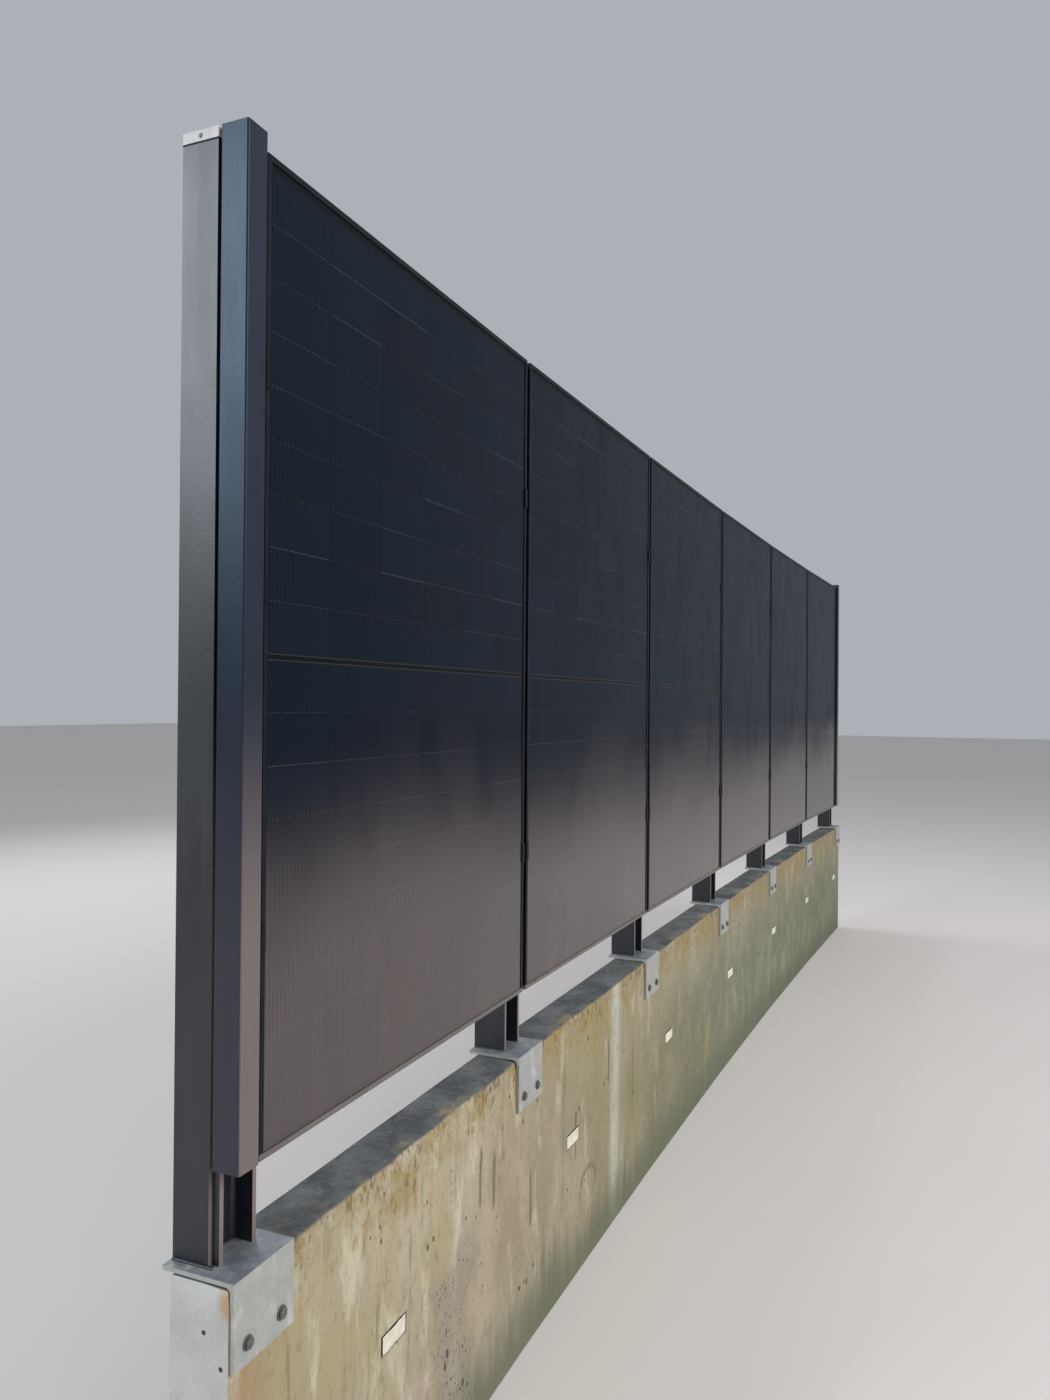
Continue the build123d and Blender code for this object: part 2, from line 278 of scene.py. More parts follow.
def darkCoat(name, colour, dusty, rough, gloss=0.5, sheen=(1, 1, 1), dustAndPaintedLight=(0.0, 0.0)):
    # film: how much pale colour goes on the sides and on the faces towards the road, partly road dust
    # and partly painted light: the road's reflection on a cover, sun on the flange tips of a post
    finish = Finish(name, {"Specular IOR Level": gloss, "Specular Tint": (*sheen, 1)})
    fine = finish.noise(finish.place(), 420.0, 2.0, 0.6)
    cloud = finish.noise(finish.place((1, 1, 0.3)), 7.0, 5.0, 0.6)
    height = finish.axis(finish.place(), "Z")
    low = height.fades(1.02, 0.80)
    trails = finish.noise(finish.place((1, 1, 0.02)), 90.0, 3.0, 0.6).fades(0.60, 0.72)
    # dust in clouds and trails, less of it near the foot, where the coat is darkened as painted shade
    dustAndFootShade = cloud.fades(0.45, 0.75) * 0.10 + trails * 0.10 - low * 0.05
    facing = (-1 * finish.axis(finish.put("ShaderNodeTexCoord", out=1), "Y")).fades(0.3, 0.8, *dustAndPaintedLight)
    x = finish.axis(finish.place(), "X")
    curve = math.radians(run["bend"]) / (2 * run["pitch"])
    behind = finish.axis(finish.place(), "Y") + x * x * curve - seams[run["bays"] // 2].y
    facing = facing * behind.fades(0.075, 0.060)       # none on a web, deep between its flanges
    # painted light with road dust: lower faces towards the road made paler
    colour = finish.mix(colour, (0.170, 0.133, 0.122), height.fades(1.80, 1.30) * facing)
    finish.drive("Base Color", finish.mix(colour, dusty, dustAndFootShade.clamp()))
    finish.drive("Roughness", rough + 0.07 * cloud.fades(0.35, 0.7) + 0.04 * low)
    finish.relief(fine, 0.25, 0.0006)
    return finish.material


def frameBlack():
    finish = Finish("frame_black", {"Specular IOR Level": 0.10, "Specular Tint": (0.66, 0.84, 1.0, 1)})
    brushed = finish.noise(finish.place((1, 1, 0.04)), 300.0, 2.0, 0.5)
    cloud = finish.noise(finish.place(), 11.0, 5.0, 0.6)
    colour = finish.mix((0.005, 0.0062, 0.009), (0.011, 0.012, 0.016), cloud.fades(0.35, 0.75))
    # dust and painted light on the lower lip, which reads paler
    lipDustAndLight = finish.axis(finish.place(), "Z").fades(module["bottom"] + 0.013, module["bottom"] + 0.010)
    finish.drive("Base Color", finish.mix(colour, (0.17, 0.155, 0.15), lipDustAndLight * (0.55 + 0.45 * cloud)))
    finish.drive("Roughness", 0.30 + 0.16 * cloud + 0.05 * brushed)
    finish.relief(brushed, 0.12, 0.0004)
    return finish.material


def galvanised(name, tone, metal):
    finish = Finish(name, {})
    spangle = finish.cells(finish.place(), 95.0, out=1)
    shade = finish.put("ShaderNodeRGBToBW", None, {0: spangle})
    cloud = finish.noise(finish.place(), 16.0, 6.0, 0.62)
    bloom = finish.noise(finish.place((1, 1, 0.4)), 38.0, 5.0, 0.7).fades(0.52, 0.74)
    low = tuple(c * tone for c in (0.36, 0.37, 0.345))
    high = tuple(c * tone for c in (0.53, 0.54, 0.51))
    colour = finish.mix(low, high, shade * 0.35 + cloud * 0.65)
    colour = finish.mix(colour, tuple(c * tone for c in (0.66, 0.67, 0.625)), bloom * 0.6)
    topShadePatches = finish.noise(finish.place((1, 1, 0.5)), 24.0, 6.0, 0.65)
    # the top face bluish and darker in patches: painted shade
    isTop = finish.axis(finish.place(), "Z").fades(post["foot"] - 0.0012, post["foot"] - 0.0002)
    colour = finish.mix(colour, (0.165, 0.190, 0.225), isTop * topShadePatches.fades(0.30, 0.60, 0.25, 0.85))
    finish.drive("Base Color", colour)
    finish.drive("Metallic", metal - 0.35 * bloom * metal)
    finish.drive("Roughness", 0.50 + 0.14 * shade + 0.18 * bloom)
    finish.relief(shade * 0.4 + cloud, 0.1, 0.0008)
    return finish.material


def castConcrete():
    marks = dict(
        lime=(1.905, 0.076),                   # pale run down the wall: place, half width
        arc=(1.64, 0.215, 0.073),              # faint ring of a form: place, height, radius
        rubble=(0.71, 0.080, 0.53),            # rough low patch: place, half width, top
        cracks=((0.86, 0.58), (0.94, 0.54), (1.18, 0.39), (1.83, 0.56), (1.53, 0.43)),
        dampShadeTop=0.22,
        rustRun=(-0.035, 0.075),               # under the near bracket: place, half width
        rustAt=(-0.012, 0.776), rustSize=0.032,           # on the near end face
        holes=((0.036, 0.719), (0.001, 0.668)), holeSize=0.0055,
    )
    finish = Finish("cast_concrete", {"Specular IOR Level": 0.2})
    spot = finish.place()
    along = (finish.axis(finish.ownMap("run"), "X") * 10) - wall["overhang"]
    height = finish.axis(spot, "Z")
    normal = finish.put("ShaderNodeTexCoord", out=1)
    isEnd = (-1 * finish.axis(normal, "X")).fades(0.80, 0.95)
    isRoad = (-1 * finish.axis(normal, "Y")).fades(0.3, 0.7)
    broad = finish.noise(spot, 1.9, 4.0, 0.55)
    runs = finish.noise(finish.place((1, 1, 0.13)), 15.0, 7.0, 0.66)
    thinRuns = finish.noise(finish.place((1, 1, 0.05), (3.1, 0, 0)), 62.0, 4.0, 0.6)
    paleRuns = finish.noise(finish.place((1, 1, 0.30), (7.7, 0, 0)), 12.0, 7.0, 0.66)
    blots = finish.noise(spot, 9.0, 9.0, 0.68)
    patches = finish.noise(finish.place((1, 1, 0.6), (0, 0, 4.4)), 4.2, 5.0, 0.6)
    specks = finish.noise(finish.place((1, 1, 0.55)), 62.0, 6.0, 0.66)
    grains = finish.noise(spot, 240.0, 3.0, 0.6)
    # the cast face, warm near the camera and greener further on and lower down: moss, and painted shade
    colour = finish.mix((0.315, 0.265, 0.175), (0.405, 0.355, 0.252), broad.fades(0.35, 0.65))
    colour = finish.mix(colour, (0.335, 0.285, 0.15), patches.fades(0.52, 0.66) * 0.6)
    colour = finish.mix(colour, (0.425, 0.35, 0.27), (1 - patches).fades(0.52, 0.68) * 0.8)
    colour = finish.mix(colour, (0.23, 0.195, 0.125), blots.fades(0.42, 0.30) * 0.6)
    cool = (along.fades(0.4, 2.8) * 0.82 + 0.08) * height.fades(0.80, 0.42, 0.5, 1.0)
    mossAndShade = finish.mix((0.178, 0.163, 0.080), (0.128, 0.150, 0.104), along.fades(1.5, 3.8))
    colour = finish.mix(colour, mossAndShade, cool * blots.fades(0.15, 0.60, 0.35, 0.95))
    colour = finish.mix(colour, (0.51, 0.47, 0.365), paleRuns.fades(0.53, 0.68) * (0.75 - 0.55 * cool))
    colour = finish.mix(colour, (0.34, 0.245, 0.10), runs.fades(0.55, 0.70) * 0.5)
    colour = finish.mix(colour, (0.165, 0.145, 0.10), (1 - runs).fades(0.57, 0.72) * 0.6)
    cracks = (1 - thinRuns).fades(0.62, 0.68) * patches.fades(0.44, 0.54)
    colour = finish.mix(colour, (0.12, 0.105, 0.075), cracks * (0.42 + 0.2 * cool))
    # stains and drips under the top edge
    reach = height + 0.34 * (runs - 0.5) + 0.22 * (thinRuns - 0.5) + 0.2 * (blots - 0.5)
    underEdge = reach.fades(0.62, 0.78) * blots.fades(0.40, 0.58)
    colour = finish.mix(colour, (0.29, 0.205, 0.075), underEdge * 0.8)
    drips = reach.fades(0.66, 0.80) * (1 - specks).fades(0.50, 0.60)
    colour = finish.mix(colour, (0.12, 0.092, 0.052), drips * 0.75)
    place, halfWidth = marks["lime"]
    wander = 0.06 * (broad - 0.5) + 0.05 * (thinRuns - 0.5)
    lime = 1 - abs(along - place + wander).fades(0.1 * halfWidth, halfWidth)
    colour = finish.mix(colour, (0.44, 0.44, 0.355), lime * isRoad * (0.35 + 0.8 * paleRuns))
    place, middle, radius = marks["arc"]
    wallSpot = finish.put("ShaderNodeCombineXYZ", None, {0: along, 1: height})
    ring = abs(finish.distance(wallSpot, (place, middle, 0)) + 0.03 * (specks - 0.5) - radius)
    ring = ring.fades(0.014, 0.003) * (height - 0.04 * blots).fades(middle - 0.06, middle)
    colour = finish.mix(colour, (0.14, 0.125, 0.075), ring * isRoad * 0.62)
    for place, top in marks["cracks"]:
        crack = abs(along - place + 0.03 * (blots - 0.5)).fades(0.012, 0.001)
        crack = crack * abs(height - top + 0.1 * (specks - 0.5)).fades(0.09, 0.05)
        colour = finish.mix(colour, (0.115, 0.098, 0.062), crack * isRoad * (0.55 + 0.5 * specks))
    # darker and greener towards the foot: damp, and painted shade
    dampAndShade = (height + 0.26 * (runs - 0.5) + 0.14 * (blots - 0.5)).fades(marks["dampShadeTop"], 0.02)
    colour = finish.mix(colour, (0.115, 0.125, 0.085), dampAndShade * 0.85)
    place, halfWidth = marks["rustRun"]
    rustRun = abs(along - place + 0.04 * (runs - 0.5)).fades(halfWidth, 0.0) * height.fades(0.74, 0.58)
    colour = finish.mix(colour, (0.34, 0.20, 0.095), rustRun * isRoad * (0.25 + 0.6 * blots))
    # the top: dirt and soil, and darker as painted shade
    isTop = height.fades(0.790, 0.798)
    grimeAndShade = finish.mix((0.052, 0.057, 0.062), (0.125, 0.130, 0.134), blots.fades(0.35, 0.68))
    colour = finish.mix(colour, grimeAndShade, isTop)
    place, halfWidth, top = marks["rubble"]
    rubble = 1 - abs(along - place + 0.5 * (blots - 0.5)).fades(0.5 * halfWidth, 1.6 * halfWidth)
    rubble = rubble * isRoad * (height + 0.3 * (patches - 0.5)).fades(top, top - 0.12)
    colour = finish.mix(colour, (0.29, 0.255, 0.20), rubble * (0.4 + 0.5 * specks))
    # the near end face paler and smooth: smooth cast, and painted sunlight
    smoothCastAndSunlight = finish.mix((0.43, 0.43, 0.40), (0.53, 0.53, 0.49), blots.fades(0.3, 0.7))
    colour = finish.mix(colour, smoothCastAndSunlight, isEnd * height.fades(0.02, 0.25))
    # air holes, and gravel in the rough patch
    pits = finish.cells(finish.place((1, 1, 0.6)), 42.0)
    pitSize = finish.noise(spot, 15.0, 2.0, 0.5).fades(0.50, 0.72, 0.0, 0.27) + 0.16 * rubble
    gravel = finish.cells(finish.place((1, 1, 0.8)), 105.0)
    isPit = (pitSize - pits).fades(0.0, 0.05) * (1 - isEnd)
    isPit = (isPit + rubble * (1 - gravel).fades(0.72, 0.86) * blots.fades(0.40, 0.55)).clamp()
    colour = finish.mix(colour, (0.075, 0.065, 0.045), isPit * 0.9)
    colour = finish.mix(colour, (0.19, 0.165, 0.115), specks.fades(0.53, 0.68) * (1 - isEnd) * 0.55)
    colour = finish.mix(colour, (0.25, 0.22, 0.15), grains.fades(0.55, 0.75) * 0.3)
    size = marks["holeSize"]
    for hole in marks["holes"]:
        away = finish.distance(spot, bayPlace(0) @ Vector((-wall["overhang"], *hole)))
        colour = finish.mix(colour, (0.06, 0.055, 0.05), away.fades(size, 0.6 * size))
    away = finish.distance(spot, bayPlace(0) @ Vector((-wall["overhang"], *marks["rustAt"])))
    rust = (away + 0.05 * (blots - 0.5) + 0.02 * (specks - 0.5)).fades(marks["rustSize"], 0.008)
    colour = finish.mix(colour, (0.44, 0.25, 0.11), rust * 0.75)
    finish.drive("Base Color", colour)
    finish.drive("Roughness", 0.82 + 0.15 * blots - 0.15 * dampAndShade)
    relief = grains * 0.2 + blots * 0.6 + specks * 0.5 + runs * 0.2 - isPit * 1.6 + rubble * grains
    finish.relief(relief, 0.7, 0.004)
    return finish.material


def plainNoisy(name, low, high, rough, scale, gloss=0.5):
    finish = Finish(name, {"Specular IOR Level": gloss})
    cloud = finish.noise(finish.place(), scale, 6.0, 0.62)
    fine = finish.noise(finish.place(), 260.0, 3.0, 0.6)
    finish.drive("Base Color", finish.mix(low, high, cloud.fades(0.3, 0.7)))
    finish.drive("Roughness", rough + 0.15 * (cloud - 0.5))
    finish.relief(fine + cloud, 0.2, 0.0012)
    return finish.material


def pocketMortar():
    # pale on its face; its sides painted black as the shade in the gap round it
    finish = Finish("pocket_mortar", {})
    cloud = finish.noise(finish.place(), 40.0, 6.0, 0.62)
    fine = finish.noise(finish.place(), 260.0, 3.0, 0.6)
    normal = finish.put("ShaderNodeTexCoord", out=1)
    facing = -1 * finish.axis(normal, "Y")
    colour = finish.mix((0.55, 0.52, 0.40), (0.74, 0.71, 0.58), cloud.fades(0.3, 0.7))
    finish.drive("Base Color", finish.mix((0.02, 0.018, 0.015), colour, facing.fades(0.75, 0.92)))
    finish.drive("Roughness", 0.85 + 0.15 * (cloud - 0.5))
    finish.relief(fine + cloud, 0.6, 0.0012)
    return finish.material


# modelling, as by hand
def deselectAll():
    if bpy.context.mode != "OBJECT":
        bpy.ops.object.mode_set(mode="OBJECT")
    bpy.ops.object.select_all(action="DESELECT")


def pick(piece):
    deselectAll()
    piece.select_set(True)
    bpy.context.view_layer.objects.active = piece


def named(piece, name):
    piece.name = piece.data.name = name
    return piece


def settle(piece):
    pick(piece)
    bpy.ops.object.transform_apply(location=True, rotation=True, scale=True)
    return piece


def addModifier(piece, kind, **settings):
    pick(piece)
    modifier = piece.modifiers.new(kind.title(), kind)
    for key, value in settings.items():
        setattr(modifier, key, value)
    bpy.ops.object.modifier_apply(modifier=modifier.name)


def blockAt(name, low, high):
    deselectAll()
    middle = [(a + b) / 2 for a, b in zip(low, high)]
    size = [b - a for a, b in zip(low, high)]
    bpy.ops.mesh.primitive_cube_add(size=1, location=middle, scale=size)
    return settle(named(bpy.context.object, name))


def barAlong(name, radius, low, high, sides, centre=(0, 0)):
    # a bar along Y, from low to high, centred on x and z
    deselectAll()
    place = (centre[0], (low + high) / 2, centre[1])
    bpy.ops.mesh.primitive_cylinder_add(vertices=sides, radius=radius, depth=high - low,
                                        location=place, rotation=(math.radians(90), 0, 0))
    return settle(named(bpy.context.object, name))


def copyOf(piece, name, place):
    twin = piece.copy()
    twin.data = piece.data.copy()
    named(twin, name)
    bpy.context.collection.objects.link(twin)
    twin.data.transform(place)
    return twin


def joined(pieces, name):
    deselectAll()
    for piece in pieces:
        piece.select_set(True)
    bpy.context.view_layer.objects.active = pieces[0]
    if len(pieces) > 1:
        bpy.ops.object.join()
    return named(bpy.context.object, name)


def wear(piece, material, slot, *nodes):
    piece.data.materials.clear()
    piece.data.materials.append(material)
    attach(piece, "root")
    if nodes:
        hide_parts(*nodes)


def smooth(piece, angle=35):
    pick(piece)
    bpy.ops.object.shade_smooth_by_angle(angle=math.radians(angle))


# the finishes
print("finishes")
looks = dict(
    concrete=castConcrete(),
    galvanised=galvanised("galvanised", 0.86, 0.5),
    fastener=galvanised("zinc_fastener", 0.62, 0.8),
    # anchor heads: weathered zinc, darker still as painted shade
    anchorZincWornAndShaded=galvanised("anchor_zinc_worn_and_shaded", 0.27, 0.5),
    postCoat=darkCoat("post_coat", (0.011, 0.013, 0.017), (0.09, 0.092, 0.096), 0.36, dustAndPaintedLight=(0.0, 1.0)),
    coverCoat=darkCoat("cover_coat", (0.010, 0.014, 0.024), (0.06, 0.056, 0.055), 0.33, 0.29,
                       sheen=(0.54, 0.74, 1.0), dustAndPaintedLight=(0.17, 0.85)),
    frameBlack=frameBlack(),
    cellGlass=cellGlass(),
    backSheet=plainNoisy("back_sheet", (0.012, 0.012, 0.013), (0.02, 0.02, 0.021), 0.5, 3.0),
    boxPlastic=plainNoisy("box_plastic", (0.014, 0.014, 0.014), (0.026, 0.026, 0.026), 0.5, 30.0),
    clampBlack=plainNoisy("clamp_black", (0.006, 0.0065, 0.008), (0.010, 0.0105, 0.012), 0.4, 30.0,
                          gloss=0.06),
    capGrey=plainNoisy("cap_grey", (0.40, 0.375, 0.35), (0.55, 0.52, 0.49), 0.45, 30.0),
    mortar=pocketMortar(),
)
nodeLooks = dict(
    base_bracket="galvanised", wall_anchors="anchorZincWornAndShaded", plinth_wall="concrete",
    post="postCoat", post_cap="capGrey", end_cover="coverCoat",
    mid_clamps="clampBlack", end_clamps="clampBlack",
    module_frame="frameBlack", module_laminate="cellGlass", junction_boxes="boxPlastic",
)
for nodeName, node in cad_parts.items():
    prefix = max((key for key in nodeLooks if nodeName.startswith(key)), key=len)
    for slot in node.material_slots:
        slot.material = looks[nodeLooks[prefix]]


# one glass sheet per bay, with its own map so that the cells follow each bay
sheet = dict(
    edge=0.004,            # glass edge, in from the module's outer edge
    front=0.0020,
    thick=0.0046,
    rim=0.0006,
)


def glassSheet(bay):
    left = run["gap"] / 2 + sheet["edge"]
    right = run["pitch"] - left
    piece = blockAt(f"glass_sheet_{bay + 1}",
                    (left, sheet["front"], module["bottom"] + sheet["edge"]),
                    (right, sheet["front"] + sheet["thick"], moduleTop - sheet["edge"]))
    addModifier(piece, "BEVEL", width=sheet["rim"], segments=2)
    mesh = piece.data
    layer = mesh.uv_layers.active or mesh.uv_layers.new()
    layer.name = "sheet"
    for loop in mesh.loops:
        spot = mesh.vertices[loop.vertex_index].co
        layer.data[loop.index].uv = (
            (spot.x - run["gap"] / 2) / module["width"],
            (spot.z - module["bottom"]) / module["height"],
        )
    wear(piece, looks["cellGlass"], "cell_glass", f"module_laminate_{bay + 1}")
    mesh.materials.append(looks["backSheet"])
    for face in mesh.polygons:
        if face.normal.y > 0.5:
            face.material_index = 1
    mesh.transform(bayPlace(bay))
    return piece


print("glass")
for bay in range(run["bays"]):
    glassSheet(bay)


# the cast wall: a straight block in run lengths, roughened, then laid along the bends
cast = dict(
    slice=70, again=3,     # cuts along the wall, and once more in each slice
    courses=30,
    layers=4,
    dent=0.0016,           # hollows of the faces
    broad=7.0, fine=31.0,  # noise scales of the hollows
    chip=0.0075,           # wear of the front arris
    arris=0.016,           # height of the worn strip
    bites=9.0, worn=0.15,  # noise scale of the wear, and how much more than half is worn
    pocket=(0.105, 0.045, 0.012),
    pocketHeight=0.430,
    pocketFirst=0.530,
    pocketPitch=1.060,
    pockets=7,
)


def alongWall(spot):
    bay = min(max(int(spot.x // run["pitch"]), 0), run["bays"] - 1)
    local = spot.x - bay * run["pitch"]
    share = min(max(local / run["pitch"], 0), 1)
    skew = spot.y * math.tan(math.radians(run["bend"] / 2))
    left = -skew if bay > 0 else 0
    right = skew if bay < run["bays"] - 1 else 0
    return bayPlace(bay) @ Vector((local + left * (1 - share) + right * share, spot.y, spot.z))


def pickEdges(piece, wanted):
    # into edit mode, with only the wanted edges selected
    pick(piece)
    bpy.ops.object.mode_set(mode="EDIT")
    bpy.ops.mesh.select_mode(type="EDGE")
    bpy.ops.mesh.select_all(action="DESELECT")
    shape = bmesh.from_edit_mesh(piece.data)
    for edge in shape.edges:
        edge.select_set(wanted(edge))
    bmesh.update_edit_mesh(piece.data)


def cutEdges(piece, direction, cuts):
    def liesAlong(edge):
        line = (edge.verts[1].co - edge.verts[0].co).normalized()
        return abs(line.dot(direction)) > 0.99
    pickEdges(piece, liesAlong)
    bpy.ops.mesh.subdivide(number_cuts=cuts)
    bpy.ops.object.mode_set(mode="OBJECT")


def pocketPlaces():
    first = cast["pocketFirst"]
    return [first + k * cast["pocketPitch"] - wall["overhang"] for k in range(cast["pockets"])]


def castWall():
    length = run["bays"] * run["pitch"] + wall["overhang"]
    back = wall["front"] + wall["thick"]
    piece = blockAt("wall_cast", (-wall["overhang"], wall["front"], 0), (length, back, wall["height"]))
    pickEdges(piece, lambda edge: all(vert.co.z > wall["height"] - 0.001 for vert in edge.verts))
    bpy.ops.mesh.bevel(offset=wall["chamfer"], offset_type="WIDTH", segments=2, affect="EDGES")
    bpy.ops.object.mode_set(mode="OBJECT")
    cutEdges(piece, Vector((1, 0, 0)), cast["slice"])
    cutEdges(piece, Vector((1, 0, 0)), cast["again"])
    cutEdges(piece, Vector((0, 0, 1)), cast["courses"])
    cutEdges(piece, Vector((0, 1, 0)), cast["layers"])
    wide, tall, deep = cast["pocket"]
    cutters = [
        blockAt("cutter", (x - wide / 2, wall["front"] - deep, cast["pocketHeight"] - tall / 2),
                (x + wide / 2, wall["front"] + deep, cast["pocketHeight"] + tall / 2))
        for x in pocketPlaces()
    ]
    cutter = joined(cutters, "cutter")
    addModifier(piece, "BOOLEAN", operation="DIFFERENCE", object=cutter, solver="EXACT")
    bpy.data.objects.remove(cutter)
    middle = wall["front"] + wall["thick"] / 2
    normals = [vert.normal.copy() for vert in piece.data.vertices]
    for vert, normal in zip(piece.data.vertices, normals):
        spot = vert.co.copy()
        inPocket = abs(spot.z - cast["pocketHeight"]) < tall and (
            wall["front"] + 0.001 < spot.y < middle - 0.02)
        if spot.z < 0.001 or inPocket:       # the foot and the pockets keep their shape
            continue
        hollow = 0.5 + 0.5 * noise.noise(spot * cast["broad"])
        fine = 0.5 + 0.5 * noise.noise(spot * cast["fine"])
        push = cast["dent"] * (0.7 * hollow + 0.3 * fine)
        arris = max(0.0, 1 - abs(spot.z - wall["height"] + cast["arris"] / 4) / cast["arris"])
        if arris > 0 and spot.y < middle - 0.03:
            bite = noise.noise(Vector((spot.x * cast["bites"], 0.3, 5.1))) + cast["worn"]
            bite = max(0.0, bite)
            push += cast["chip"] * arris * min(1.0, bite * 1.6) * (0.5 + fine)
        vert.co = spot - normal * push
    mesh = piece.data
    for old in list(mesh.uv_layers):
        mesh.uv_layers.remove(old)
    layer = mesh.uv_layers.new(name="run")
    for loop in mesh.loops:
        spot = mesh.vertices[loop.vertex_index].co
        layer.data[loop.index].uv = ((spot.x + wall["overhang"]) / 10, spot.z)
    for vert in mesh.vertices:
        vert.co = alongWall(vert.co)
    wear(piece, looks["concrete"], "concrete", "plinth_wall")
    smooth(piece, 40)
    return piece


mortar = dict(
    gapWide=0.012, gapTall=0.008,         # open joint round a plug, both sides together
    aside=0.0048, down=0.0030,            # plugs sit off the pocket's middle
    behind=0.0022,         # face of a plug, behind the wall's
    cuts=9,
    tilt=0.0012, swell=0.0016, rough=0.0003,
)


def mortarPlugs():
    wide, tall = cast["pocket"][0] - mortar["gapWide"], cast["pocket"][1] - mortar["gapTall"]
    front = wall["front"] + mortar["behind"]
    back = wall["front"] + cast["pocket"][2]
    low = cast["pocketHeight"] - mortar["down"] - tall / 2
    high = cast["pocketHeight"] - mortar["down"] + tall / 2
    plugs = []
    for number, x in enumerate(pocketPlaces()):
        x += mortar["aside"]
        plug = blockAt("plug", (x - wide / 2, front, low), (x + wide / 2, back, high))
        pick(plug)
        bpy.ops.object.mode_set(mode="EDIT")
        bpy.ops.mesh.select_all(action="SELECT")
        bpy.ops.mesh.subdivide(number_cuts=mortar["cuts"])
        bpy.ops.object.mode_set(mode="OBJECT")
        roll = random.Random(number)
        tilt = roll.uniform(-mortar["tilt"], mortar["tilt"])
        for vert in plug.data.vertices:
            if vert.co.y < front + 0.001:
                off = (vert.co.x - x) / wide
                swell = (1 - (2 * off) ** 2) * roll.uniform(0.0, mortar["swell"])
                grain = roll.uniform(-mortar["rough"], mortar["rough"])
                vert.co.y += mortar["tilt"] - swell + tilt * off + grain
            vert.co = alongWall(vert.co)
        plugs.append(plug)
    whole = joined(plugs, "pocket_mortar")
    wear(whole, looks["mortar"], "concrete")
    smooth(whole, 40)


print("wall")
castWall()
mortarPlugs()


# fixings
anchor = dict(
    spacing=0.090, drop=0.112,
    washer=0.0125, washerThick=0.0020, washerEdge=0.0004,
    acrossFlats=0.018, head=0.0048,
    plateOut=-0.0222,      # bracket's road face at an end post
    halfBracket=0.080,     # half of the bracket's width
)
clamp = dict(
    floor=0.026, sheet=0.002,
    stem=0.012,            # reach of an end clamp
    clearance=0.0002,
    heights=(0.22, 0.78),
)
bolt = dict(
    shank=0.0030, acrossFlats=0.010, head=0.004, nut=0.005,
    pastWeb=0.009,         # end of the shank, behind the web
)


def hexAlong(name, acrossFlats, low, high, centre=(0, 0)):
    piece = barAlong(name, acrossFlats / math.sqrt(3), low, high, 6, centre)
    addModifier(piece, "BEVEL", width=acrossFlats * 0.05, segments=2)
    return piece


def anchorSet():
    parts = []
    plate = anchor["plateOut"]
    for side in (-1, 1):
        centre = (side * anchor["spacing"] / 2, post["foot"] - anchor["drop"])
        washer = barAlong("washer", anchor["washer"], plate - anchor["washerThick"], plate, 32, centre)
        addModifier(washer, "BEVEL", width=anchor["washerEdge"], segments=2)
        outer = plate - anchor["washerThick"]
        head = hexAlong("head", anchor["acrossFlats"], outer - anchor["head"], outer, centre)
        parts += [washer, head]
    return joined(parts, "anchors")


def clampBolts(index):
    offset = 0
    if atEnd(index):
        spare = run["gap"] - clamp["stem"] - clamp["sheet"]
        offset = -outwardOf(index) * (spare / 2 - clamp["clearance"])
    floor = clamp["floor"] - clamp["sheet"]
    web = post["front"] + post["depth"] / 2 + post["web"] / 2
    parts = []
    for share in clamp["heights"]:
        centre = (offset, module["bottom"] + share * module["height"])
        parts.append(hexAlong("head", bolt["acrossFlats"], floor - bolt["head"], floor, centre))
        parts.append(barAlong("shank", bolt["shank"], floor - 0.001, web + bolt["pastWeb"], 12, centre))
        parts.append(hexAlong("nut", bolt["acrossFlats"], web, web + bolt["nut"], centre))
    whole = joined(parts, f"clamp_bolts_{index + 1}")
    whole.data.transform(postPlace(index))
    wear(whole, looks["fastener"], "galvanised")
    smooth(whole)


weld = dict(
    radius=0.0042, sides=10,
    out=0.0008,            # middle of a bead, off the steel's face
    short=0.004,           # how much shorter than the steel it lies along
    cut=0.003,             # between two rings of the mesh
    ripple=0.16, ripplePitch=0.0062,
)


def weldBead(length):
    # a rippled bead along X, centred
    deselectAll()
    bpy.ops.mesh.primitive_cylinder_add(vertices=weld["sides"], radius=weld["radius"], depth=length,
                                        rotation=(0, math.radians(90), 0))
    bead = settle(bpy.context.object)
    cutEdges(bead, Vector((1, 0, 0)), max(int(length / weld["cut"]), 4))
    for vert in bead.data.vertices:
        swell = 1 + weld["ripple"] * math.sin(vert.co.x * 2 * math.pi / weld["ripplePitch"])
        vert.co.y *= swell
        vert.co.z *= swell
    return bead


def footWelds(index):
    half = post["width"] / 2
    middle = post["front"] + post["depth"] / 2
    flange = weldBead(post["depth"] - weld["short"])
    turned = Matrix.Rotation(math.radians(90), 4, "Z")
    beads = []
    for side in (-1, 1):
        x = side * (half + weld["out"])
        if atEnd(index) and side == outwardOf(index):
            x = side * (post["barOut"] + weld["out"])
        beads.append(copyOf(flange, "bead", Matrix.Translation((x, middle, post["foot"])) @ turned))
    web = weldBead(post["width"] - 2 * post["flange"] - weld["short"])
    for side in (-1, 1):
        y = middle + side * (post["web"] / 2 + weld["out"])
        beads.append(copyOf(web, "bead", Matrix.Translation((0, y, post["foot"]))))
    for source in (flange, web):
        bpy.data.objects.remove(source)
    whole = joined(beads, f"foot_weld_{index + 1}")
    whole.data.transform(postPlace(index))
    wear(whole, looks["postCoat"], "post_coat")
    smooth(whole, 60)


cap = dict(
    shadowStripOut=0.0004,       # painted shadow strip under the cap, proud of the bar
    shadowStripTall=0.0028,
    screwHeight=0.012,     # above the modules' top
    screw=0.0042, screwFlat=0.45,
    slotWide=0.0012, slotLong=0.006, slotFloor=-0.0008,
)


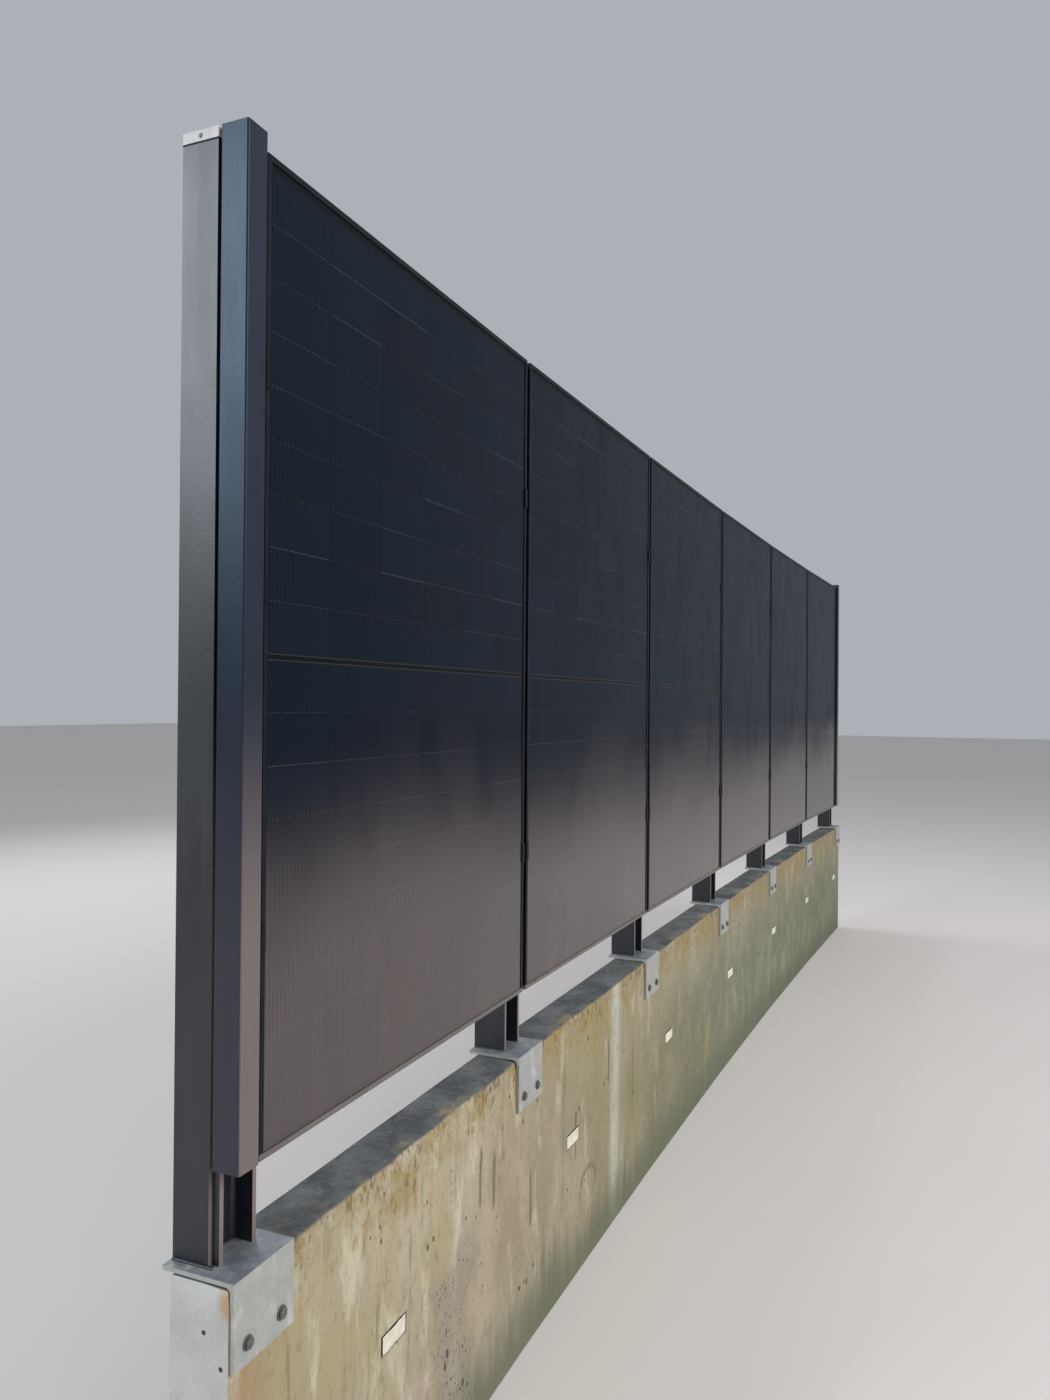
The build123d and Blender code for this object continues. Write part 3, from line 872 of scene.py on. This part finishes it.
def endName(index):
    return "near" if index == 0 else "far"


def capShadowStrip(index):
    # dark strip where the cap sits on the post, a painted shadow under the cap's skirt
    out = cap["shadowStripOut"]
    low = post["width"] / 2, post["barFront"] - out, moduleTop - out
    high = post["barOut"] + out, post["front"] + post["depth"] - out / 2, moduleTop + cap["shadowStripTall"]
    seam = blockAt(f"cap_shadow_strip_{endName(index)}", low, high)
    if outwardOf(index) < 0:
        seam.data.transform(Matrix.Rotation(math.pi, 4, "Z"))
        seam.data.transform(Matrix.Translation((0, low[1] + high[1], 0)))
    seam.data.transform(postPlace(index))
    wear(seam, looks["clampBlack"], "clamp_black")


def capScrew(index):
    outward = outwardOf(index)
    middle = (post["barFront"] + post["front"] + post["depth"]) / 2
    deselectAll()
    bpy.ops.mesh.primitive_uv_sphere_add(segments=24, ring_count=12, radius=cap["screw"])
    head = named(bpy.context.object, f"cap_screw_{endName(index)}")
    head.scale = (cap["screwFlat"], 1, 1)
    settle(head)
    halfWide, halfLong = cap["slotWide"] / 2, cap["slotLong"] / 2
    slot = blockAt("cutter", (-0.004, -halfWide, -halfLong), (cap["slotFloor"], halfWide, halfLong))
    if outward > 0:
        slot.data.transform(Matrix.Rotation(math.pi, 4, "Z"))
    addModifier(head, "BOOLEAN", operation="DIFFERENCE", object=slot, solver="EXACT")
    bpy.data.objects.remove(slot)
    place = Matrix.Translation((outward * post["barOut"], middle, moduleTop + cap["screwHeight"]))
    head.data.transform(postPlace(index) @ place)
    wear(head, looks["fastener"], "galvanised")
    smooth(head)


print("fixings")
pair = anchorSet()
pairs = []
for index in range(run["bays"] + 1):
    # at an inner post the wall's bend pushes the bracket a little towards the road
    turn = 0 if atEnd(index) else math.radians(run["bend"] / 2)
    forward = Matrix.Translation((0, -anchor["halfBracket"] * math.tan(turn), 0))
    pairs.append(copyOf(pair, "pair", postPlace(index) @ forward))
    clampBolts(index)
    footWelds(index)
bpy.data.objects.remove(pair)
anchors = joined(pairs, "anchor_heads")
wear(anchors, looks["anchorZincWornAndShaded"], "galvanised", "wall_anchors")
smooth(anchors)
for index in (0, run["bays"]):
    capScrew(index)
    capShadowStrip(index)


# floor, light and camera
studio = dict(
    floorSize=120, floorColour=(0.74, 0.69, 0.66, 1),
    air=(0.69, 0.73, 0.79, 1), airStrength=0.60,
    lamps=(                # name, place, aim, size, power, colour
        ("key", (-3.4, -8.6, 6.5), (-1.0, 0, 1.0), 5.0, 560, (1, 1, 1)),
        ("front", (1.0, -9.5, 5.0), (1.5, 0, 1.2), 5.0, 380, (1, 1, 1)),
        ("side", (-9.5, 4.6, 5.2), (-3.4, 0, 1.9), 3.2, 430, (0.84, 0.92, 1)),
        ("rim", (3.0, 8.0, 6.5), (0.5, 0, 1.4), 4.0, 260, (1, 1, 1)),
    ),
)


def stage():
    deselectAll()
    bpy.ops.mesh.primitive_plane_add(size=studio["floorSize"], location=(0, 0, -0.001))
    floor = bpy.context.object
    floor.name = "floor"
    finish = Finish("floor_grey", {
        "Base Color": studio["floorColour"], "Roughness": 0.75, "Specular IOR Level": 0.2,
    })
    floor.data.materials.append(finish.material)
    world = bpy.data.worlds.new("studio")
    bpy.context.scene.world = world
    world.use_nodes = True
    world.node_tree.nodes["Background"].inputs[0].default_value = studio["air"]
    world.node_tree.nodes["Background"].inputs[1].default_value = studio["airStrength"]
    for name, spot, aim, size, power, colour in studio["lamps"]:
        bpy.ops.object.light_add(type="AREA", location=spot)
        lamp = bpy.context.object
        lamp.name = name
        lamp.data.size = size
        lamp.data.energy = power
        lamp.data.color = colour
        lamp.rotation_euler = (Vector(aim) - Vector(spot)).to_track_quat("-Z", "Y").to_euler()


view = dict(
    along=-1.41,           # from the first seam, along the first bay
    toRoad=1.09,
    overModule=0.782,      # eye over the modules' lower edge
    turn=23.1,             # degrees from the first bay's direction to the view's axis
    pitch=0.256,
    roll=0.458,
    focal=1018,            # in the photograph's pixels
    longSide=1400,
)


def camera():
    deselectAll()
    spot = bayPlace(0) @ Vector((view["along"], -view["toRoad"], 0))
    spot.z = module["bottom"] + view["overModule"]
    bpy.ops.object.camera_add(location=spot)
    eye = bpy.context.object
    eye.name = "eye"
    eye.data.sensor_fit = "AUTO"
    eye.data.sensor_width = 36
    eye.data.lens = 36 * view["focal"] / view["longSide"]
    eye.data.clip_end = 300
    heading = headingOf(0) + math.radians(view["turn"])
    turned = Matrix.Rotation(heading - math.pi / 2, 4, "Z")
    raised = Matrix.Rotation(math.pi / 2 + math.radians(view["pitch"]), 4, "X")
    rolled = Matrix.Rotation(math.radians(view["roll"]), 4, "Z")
    eye.matrix_world = Matrix.Translation(spot) @ turned @ raised @ rolled
    bpy.context.scene.camera = eye


print("stage and camera")
stage()
camera()
bpy.context.scene.view_settings.view_transform = "Standard"
